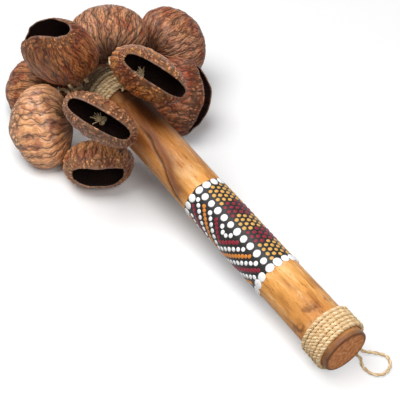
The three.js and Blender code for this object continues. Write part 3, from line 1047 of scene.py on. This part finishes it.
def twine_piece(context, name, lines, diameter, hair_length=HAIR_LENGTH, slack=1.0, painted_shade=None):
    """A piece of two-ply twine along lines of points. A slack lay is longer, and painted shade darkens a
    point.
    """
    settings = context.scene.rattle_twine
    # The tree and the material are made once
    tree = bpy.data.node_groups.get("twine_lay") or twine_tree()
    material = bpy.data.materials.get("raw_plant_twine") or raw_twine(settings)
    starts = np.cumsum([0] + [len(line) for line in lines])
    edges = [(i, i + 1) for a, b in zip(starts, starts[1:]) for i in range(a, b - 1)]
    points = np.concatenate(lines)
    attributes = {"painted_shade": np.zeros(len(points)) if painted_shade is None else painted_shade}
    mesh = make_mesh(name, points, attributes=attributes, edges=edges)
    inputs = {"Diameter": diameter * MM, "Lay": settings.lay * slack * diameter / TWINE_DIAMETER,
              "Fibre": settings.fibre, "Hairs": settings.hairs, "Hair length": hair_length * MM,
              "Twine": material}
    return make_object(name, grown(name, mesh, tree, inputs))


def wound(radius, start, turns, pitch, ends, stray):
    """A helix about the stick whose ends lie at an angle from its top, and which strays a little."""
    steps = math.ceil(abs(turns) * 2 * math.pi * radius / TWINE_STEP)
    share = np.linspace(0, 1, steps)
    angle = 90 - ends - 360 * turns * share
    turn = np.radians(angle)
    sway = stray * np.sin(2.3 * turn + 1) + stray * np.sin(0.7 * turn)
    station = start + abs(turns) * pitch * share + sway
    return on_stick(station, radius + 0.6 * stray * np.sin(1.9 * turn), angle)


def wind_twine(context):
    grip = wound(GRIP_RADIUS, GRIP_START, GRIP_TURNS, TURN_PITCH, GRIP_ENDS, GRIP_STRAY)
    settle(twine_piece(context, "twine_grip", [grip], DRAWN_GRIP), "stick", "twine", "grip_winding")
    # The head binding is wound over once more, steeper and the other way
    under = wound(BINDING_RADIUS, BINDING_START, BINDING_TURNS, TURN_PITCH, BINDING_ENDS, BINDING_STRAY)
    over = wound(BINDING_RADIUS + OVER_LIFT, BINDING_START + OVER_LEAD, OVER_TURNS, OVER_PITCH, OVER_ENDS,
                 OVER_STRAY)
    # The binding is painted darker as shade among the shells, most on its turns towards the head
    reach = (np.concatenate((under, over)) - BUTT) @ ALONG
    painted_shade = np.clip((reach - STICK_LENGTH + 20) / 10, *BINDING_SHADE)
    binding = twine_piece(context, "twine_binding", [under, over], DRAWN_BINDING, painted_shade=painted_shade)
    settle(binding, "stick", "twine", "head_binding")


def tie_loop(context):
    first, last = LOOP_ROOT_ANGLES
    foot = GRIP_OUTER + SEAT_GAP
    rises = (foot, foot + LOOP_DIAMETER)
    root = [on_stick(LOOP_STATION, rise, first) for rise in rises]
    back = [on_stick(LOOP_STATION, rise, last) for rise in reversed(rises)]
    lying = [UNDER_BUTT + np.array(point) for point in LOOP_POINTS]
    route = smooth_route([*root, *lying, *back], TWINE_STEP)
    loop = twine_piece(context, "twine_loop", [route], LOOP_DIAMETER, LOOP_HAIR_LENGTH, LOOP_SLACK)
    settle(loop, "stick", "twine", "hang_loop")


# Shells

def shell_turn(shell):
    """The way a shell lies, as a rotation of its own frame, whose Z looks out of its mouth."""
    heading, tip, roll = (math.radians(a) for a in (shell.heading, 90 - shell.rise, 90 + shell.roll))
    turn = Matrix.Rotation(heading, 3, "Z") @ Matrix.Rotation(tip, 3, "Y") @ Matrix.Rotation(roll, 3, "Z")
    return np.array(turn)


def fullness(t, mouth_share):
    """How wide a shell is at a share of its height, from its closed end to its mouth."""
    low = t < BELLY
    rise = np.where(low, (BELLY - t) / BELLY, (t - BELLY) / (1 - BELLY))
    loss = np.where(low, 1.0, 1 - mouth_share ** 2)
    return np.sqrt(np.maximum(1 - loss * rise * rise, 0))


def shell_angles():
    """Angles round a shell, in radians."""
    return np.linspace(0, 2 * math.pi, SHELL_SIDES, endpoint=False)


def shell_rows(shell, t, inset=0.0):
    """Rows of points round a shell in its own frame, at shares of its height, set in from its skin."""
    t = np.asarray(t, float)[:, None]
    inset = np.broadcast_to(np.asarray(inset, float).reshape(-1, 1), t.shape)
    turn = shell_angles()[None, :]
    square = 2 / (2 + MOUTH_SQUARENESS * np.maximum(0, 2 * t - 1))
    x, y = (np.sign(wave) * np.abs(wave) ** square for wave in (np.cos(turn), np.sin(turn)))
    # Near the closed end the rows come down to the round hole
    reach = fullness(t, shell.mouth_width / shell.width) * shell.width / 2 - inset
    reach = np.maximum(reach, HOLE_RADIUS)
    depth = fullness(t, shell.mouth_gap / shell.thickness) * shell.thickness / 2 - inset
    depth = np.maximum(depth, HOLE_RADIUS)
    # The saw has left the edge a little uneven
    start = shell.heading + shell.roll
    uneven = 0.45 * np.sin(3 * turn + start) + 0.3 * np.sin(7 * turn + 2 * start) + 0.2 * np.sin(13 * turn)
    height = t * shell.depth - shell.mouth_drop * t ** 3 * x * x + uneven * t ** 8
    return np.stack((reach * x, depth * y, height), -1)


def shell_mesh(shell, name, drift):
    """A shell as a closed mesh in its own frame, with what its relief and finish need."""
    low = BELLY * (1 - np.cos(np.linspace(0, math.pi / 2, OUTER_ROWS // 2, endpoint=False)))
    high = BELLY + (1 - BELLY) * np.sin(np.linspace(0, math.pi / 2, OUTER_ROWS - OUTER_ROWS // 2)) ** 1.15
    outer = shell_rows(shell, np.concatenate((low, high)))
    shares = np.linspace(1, 0.07, INNER_ROWS)
    inner = shell_rows(shell, shares, np.interp(shares, (0.8, 1.0), (SHELL_WALL, RIM_WALL)))
    inner[-1] = shell_rows(shell, [0.0])[0]
    inner[-1, :, 2] = SHELL_WALL
    share = np.linspace(0, 1, LIP_ROWS + 2)[1:-1, None, None]
    lip = outer[-1] * (1 - share) + inner[0] * share
    lip[..., 2] += 0.4 * RIM_WALL * np.sin(math.pi * share[..., 0])
    points = np.concatenate((outer, lip, inner))
    rows = len(points)
    # Veins run from the closed end to the mouth: their coordinates are round the shell and along it
    along = np.cumsum(np.linalg.norm(np.diff(outer, axis=0, prepend=outer[:1]), axis=-1), axis=0)
    along = np.concatenate((along, np.repeat(along[-1:], rows - len(outer), axis=0)))
    turn = np.broadcast_to(shell_angles(), along.shape)
    girth = 0.42 * (shell.width + shell.thickness) / 2
    row = np.arange(rows)[:, None]
    lip_end = len(outer) + LIP_ROWS
    from_edge = along[len(outer) - 1] - along
    attributes = {
        "vein": np.stack((girth * np.cos(turn), girth * np.sin(turn), along), -1),
        "drift": np.full(points.shape, SKIN_DRIFT * drift),
        "edge": from_edge,
        "outside": np.where(row < len(outer), np.clip(from_edge / 2.0, 0.15, 1), 0.15),
        "inside": np.broadcast_to(climb(row, lip_end - 1, lip_end + 1), along.shape),
        "rim": np.where(row < len(outer), climb(from_edge, 0.9, 0.0), 1.0),
    }
    return make_mesh(name, points, grid_faces(rows, SHELL_SIDES, looped=True), attributes)


def relief_tree(settings):
    """Raises a shell's broad lumps, the folds and wrinkles of its skin, and the pebbles round its mouth."""
    tree, first, last = new_tree("shell_relief", "Shell")
    vein = given(tree, "vein", "FLOAT_VECTOR")
    place = shifted(vein, given(tree, "drift", "FLOAT_VECTOR"))
    _, fold, wrinkle, pebble = skin_fields(vein, place, settings)
    body = eased(given(tree, "edge"), LIP_WIDTH, LIP_FADE)
    outside = given(tree, "outside")
    height = 0.0
    for field, middle, size, share in (
        (fold, 0.6, settings.fold_height, body),
        (wrinkle, 0.6, settings.wrinkle_height, body),
        (pebble, 0.6, settings.pebble_height, minus(1.0, body)),
        (noise(place, 12.0, 2.0), 0.5, 2 * settings.lump_height, outside),
    ):
        height = plus(height, times(times(minus(field, middle), size), share))
    normal = add(tree, "GeometryNodeInputNormal").outputs[0]
    raised = pushed(first["Geometry"], stretched(normal, times(height, outside)))
    return finish_tree(last, raised, first["Shell"])


def box_middle(low, high):
    return (np.array(low) + np.array(high)) / 2


def shell_place(index):
    """A shell's turn, and the place of its hole in the row frame, so that it fills the box of its solid."""
    shell = SHELLS[index]
    turn = shell_turn(shell)
    rows = shell_rows(shell, np.linspace(0, 1, 60)).reshape(-1, 3) @ turn.T
    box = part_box(f"seed_shell_{index + 1}")
    return turn, box_middle(*box) / MM - box_middle(rows.min(0), rows.max(0))


def grow_shells(context):
    settings = context.scene.rattle_shell
    tree = relief_tree(settings)
    for index, shell in enumerate(SHELLS):
        name = f"sawn_shell_{index + 1}"
        material = oiled_shell(settings, f"oiled_seed_shell_{index + 1}", shell.tone, shell.gold)
        mesh = grown(name, shell_mesh(shell, name, index), tree, {"Shell": material})
        turn, hole = shell_place(index)
        mesh.transform(Matrix.Translation(hole * MM) @ Matrix(turn.tolist()).to_4x4())
        settle(make_object(name, mesh), f"shell_{index + 1}", "seed_shell", f"seed_shell_{index + 1}")


def knot_line(middle, diameter, strand, way):
    """An overhand knot as a closed trefoil about a way, drawn tight to a diameter."""
    t = np.linspace(0, 2 * math.pi, KNOT_STEPS)
    loops = (np.sin(t) + 2 * np.sin(2 * t), np.cos(t) - 2 * np.cos(2 * t), -1.6 * np.sin(3 * t))
    turn = np.array(Vector(way).to_track_quat("Z", "Y").to_matrix())
    return middle + np.stack(loops, -1) * ((diameter - strand) / 6) @ turn.T


def frayed_end(knot, turn, index):
    """Strands that spread out of a stopper knot towards the mouth."""
    mouth = turn[:, 2]
    strands = []
    for strand in range(FRAY_STRANDS):
        spread = math.radians(FRAY_ANGLE * (strand - FRAY_STRANDS // 2)) + (math.pi if index % 2 else 0.0)
        lean = turn[:, 0] * math.cos(spread) + 0.7 * turn[:, 1] * math.sin(spread)
        tip = mouth * (8 + 2.5 * math.sin(2.1 * strand + index)) + lean * (6 + 2 * math.sin(3.3 * strand))
        strands.append(smooth_route((knot, knot + mouth * 5 + lean * 1.5, knot + tip), TWINE_STEP))
    return strands


def string_shells(context):
    pivots = {joint["child"]: np.array(joint["pos_m"]) / MM for joint in frame["joints"]}
    for index in range(len(SHELLS)):
        body = f"shell_{index + 1}"
        turn, hole = shell_place(index)
        mouth = turn[:, 2]
        root = pivots[body]
        out = root - BUTT - ALONG * np.dot(root - BUTT, ALONG)
        out /= np.linalg.norm(out)
        knot = hole + mouth * KNOT_DEPTH
        points = (root, root + out * CORD_RISE, hole - mouth * CORD_LEAD, hole, knot)
        stopper = knot_line(knot, KNOT_DIAMETER, KNOT_STRAND, mouth)
        hitch = knot_line(root, HITCH_DIAMETER, HITCH_STRAND, out)
        lines = [smooth_route(points, TWINE_STEP), stopper, hitch]
        # Each cord is painted darker towards its root, as shade among the shells
        away = np.linalg.norm(np.concatenate(lines) - root, axis=1)
        painted_shade = np.clip(CORD_SHADE[1] - away / SHADE_FADE_LENGTH, *CORD_SHADE)
        cord = twine_piece(context, f"twine_cord_{index + 1}", lines, DRAWN_CORD, painted_shade=painted_shade)
        settle(cord, body, "twine", f"shell_cord_{index + 1}")
        strands = frayed_end(knot, turn, index)
        fray = twine_piece(context, f"twine_fray_{index + 1}", strands, DRAWN_FRAY, FRAY_HAIR_LENGTH)
        settle(fray, body, "twine")


# Stage

def camera_axes():
    """The way from where the camera aims back to it, and the way to its right."""
    level = math.cos(CAMERA_ELEVATION)
    back = (math.sin(CAMERA_AZIMUTH) * level, -math.cos(CAMERA_AZIMUTH) * level, math.sin(CAMERA_ELEVATION))
    return Vector(back), Vector((math.cos(CAMERA_AZIMUTH), math.sin(CAMERA_AZIMUTH), 0))


def aimed(name, data, place):
    """An object at a place about the camera's aim, which looks at the aim."""
    item = bpy.data.objects.new(name, data)
    item.location = Vector(CAMERA_AIM) * MM + place
    item.rotation_mode = "QUATERNION"
    item.rotation_quaternion = (-place).to_track_quat("-Z", "Y")
    bpy.context.scene.collection.objects.link(item)
    return item


def add_lamp(name, lamp, power):
    back, right = camera_axes()
    data = bpy.data.lights.new(name, "AREA")
    data.energy = power
    data.size = lamp[3]
    aimed(name, data, lamp[0] * back + lamp[1] * right + Vector((0, 0, lamp[2])))


def seen_rays(tree):
    """1 for rays from the camera, and for those that reflections or glass send on, and 0 for light."""
    rays = add(tree, "ShaderNodeLightPath").outputs
    return larger(larger(rays["Is Camera Ray"], rays["Is Glossy Ray"]), rays["Is Transmission Ray"])


def pale_floor(settings):
    """Smooth white card: even and dull, lighter to the camera than to the object, and white away from the
    bunch."""
    material, tree = blank_material("white_card")
    seen = seen_rays(tree)
    lift = made("ShaderNodeMapRange", {0: seen, 3: 1.0, 4: settings.lift})
    near = made("ShaderNodeBsdfDiffuse", {"Color": stretched(tuple(settings.floor), lift)})
    far = add(tree, "ShaderNodeEmission", {"Strength": 1.0}).outputs[0]
    links = {0: object_millimetres(tree), 1: BUNCH_MIDDLE}
    away = made("ShaderNodeVectorMath", links, "Value", operation="DISTANCE")
    share = times(seen, eased(away, *FLOOR_FADE))
    shader = made("ShaderNodeMixShader", {0: share, 1: near, 2: far})
    add(tree, "ShaderNodeOutputMaterial", {"Surface": shader})
    return material


def set_stage(context):
    settings = context.scene.rattle_stage
    scene = context.scene
    data = bpy.data.cameras.new("camera")
    data.lens = CAMERA_LENS
    data.sensor_width = CAMERA_SENSOR
    scene.camera = aimed("camera", data, camera_axes()[0] * CAMERA_DISTANCE * MM)
    signs = ((-1, -1), (1, -1), (1, 1), (-1, 1))
    corners = [(x * FLOOR_REACH, y * FLOOR_REACH, FLOOR_TOP) for x, y in signs]
    make_object("floor", make_mesh("floor", corners, [(0, 1, 2, 3)]), pale_floor(settings))
    # A broad lamp hangs overhead, and a small one stands beside the camera
    add_lamp("key", KEY_LAMP, settings.key_power)
    add_lamp("fill", FILL_LAMP, settings.fill_power)
    world = bpy.data.worlds.new("sky")
    world.use_nodes = True
    strength = made("ShaderNodeMapRange", {0: seen_rays(world.node_tree), 3: settings.sky, 4: 1.0})
    feed(world.node_tree.nodes["Background"], {"Color": (1, 1, 1, 1), "Strength": strength})
    scene.world = world
    scene.view_settings.view_transform = "Standard"


# Operators, one for each group of pieces

class RATTLE_OT_carve_stick(bpy.types.Operator):
    """Carve the wooden stick"""
    bl_idname = "rattle.carve_stick"
    bl_label = "Carve stick"

    def execute(self, context):
        carve_stick(context)
        return {"FINISHED"}


class RATTLE_OT_paint_band(bpy.types.Operator):
    """Paint the band and set its dots"""
    bl_idname = "rattle.paint_band"
    bl_label = "Paint band"

    def execute(self, context):
        paint_band(context)
        return {"FINISHED"}


class RATTLE_OT_wind_twine(bpy.types.Operator):
    """Wind the grip and the head binding"""
    bl_idname = "rattle.wind_twine"
    bl_label = "Wind twine"

    def execute(self, context):
        wind_twine(context)
        return {"FINISHED"}


class RATTLE_OT_tie_loop(bpy.types.Operator):
    """Tie the hanging loop"""
    bl_idname = "rattle.tie_loop"
    bl_label = "Tie loop"

    def execute(self, context):
        tie_loop(context)
        return {"FINISHED"}


class RATTLE_OT_grow_shells(bpy.types.Operator):
    """Grow the sawn seed shells"""
    bl_idname = "rattle.grow_shells"
    bl_label = "Grow shells"

    def execute(self, context):
        grow_shells(context)
        return {"FINISHED"}


class RATTLE_OT_string_shells(bpy.types.Operator):
    """String the shells on their knotted cords"""
    bl_idname = "rattle.string_shells"
    bl_label = "String shells"

    def execute(self, context):
        string_shells(context)
        return {"FINISHED"}


class RATTLE_OT_set_stage(bpy.types.Operator):
    """Set up the camera, the floor and the lamps"""
    bl_idname = "rattle.set_stage"
    bl_label = "Set stage"

    def execute(self, context):
        set_stage(context)
        return {"FINISHED"}


class RATTLE_PT_maker(bpy.types.Panel):
    """Lists the rattle's settings, and the steps that make it"""
    bl_label = "Seed rattle"
    bl_space_type = "VIEW_3D"
    bl_region_type = "UI"
    bl_category = "Rattle"

    def draw(self, context):
        for name, kind in SETTINGS.items():
            box = self.layout.box()
            box.label(text=kind.__doc__)
            for field in kind.__annotations__:
                box.prop(getattr(context.scene, name), field)
        for operator in OPERATORS:
            self.layout.operator(operator.bl_idname)


OPERATORS = (RATTLE_OT_set_stage, RATTLE_OT_tie_loop, RATTLE_OT_carve_stick, RATTLE_OT_paint_band,
             RATTLE_OT_wind_twine, RATTLE_OT_grow_shells, RATTLE_OT_string_shells)
SETTINGS = {"rattle_stick": StickSettings, "rattle_band": BandSettings, "rattle_twine": TwineSettings,
            "rattle_shell": ShellSettings, "rattle_stage": StageSettings}


def register():
    for kind in (*SETTINGS.values(), *OPERATORS, RATTLE_PT_maker):
        bpy.utils.register_class(kind)
    for name, kind in SETTINGS.items():
        setattr(bpy.types.Scene, name, PointerProperty(type=kind))


def unregister():
    for name in SETTINGS:
        delattr(bpy.types.Scene, name)
    for kind in reversed((*SETTINGS.values(), *OPERATORS, RATTLE_PT_maker)):
        bpy.utils.unregister_class(kind)


def main():
    register()
    bpy.ops.rattle.set_stage()
    bpy.ops.rattle.tie_loop()
    bpy.ops.rattle.carve_stick()
    bpy.ops.rattle.paint_band()
    bpy.ops.rattle.wind_twine()
    bpy.ops.rattle.grow_shells()
    bpy.ops.rattle.string_shells()


if __name__ == "__main__":
    main()
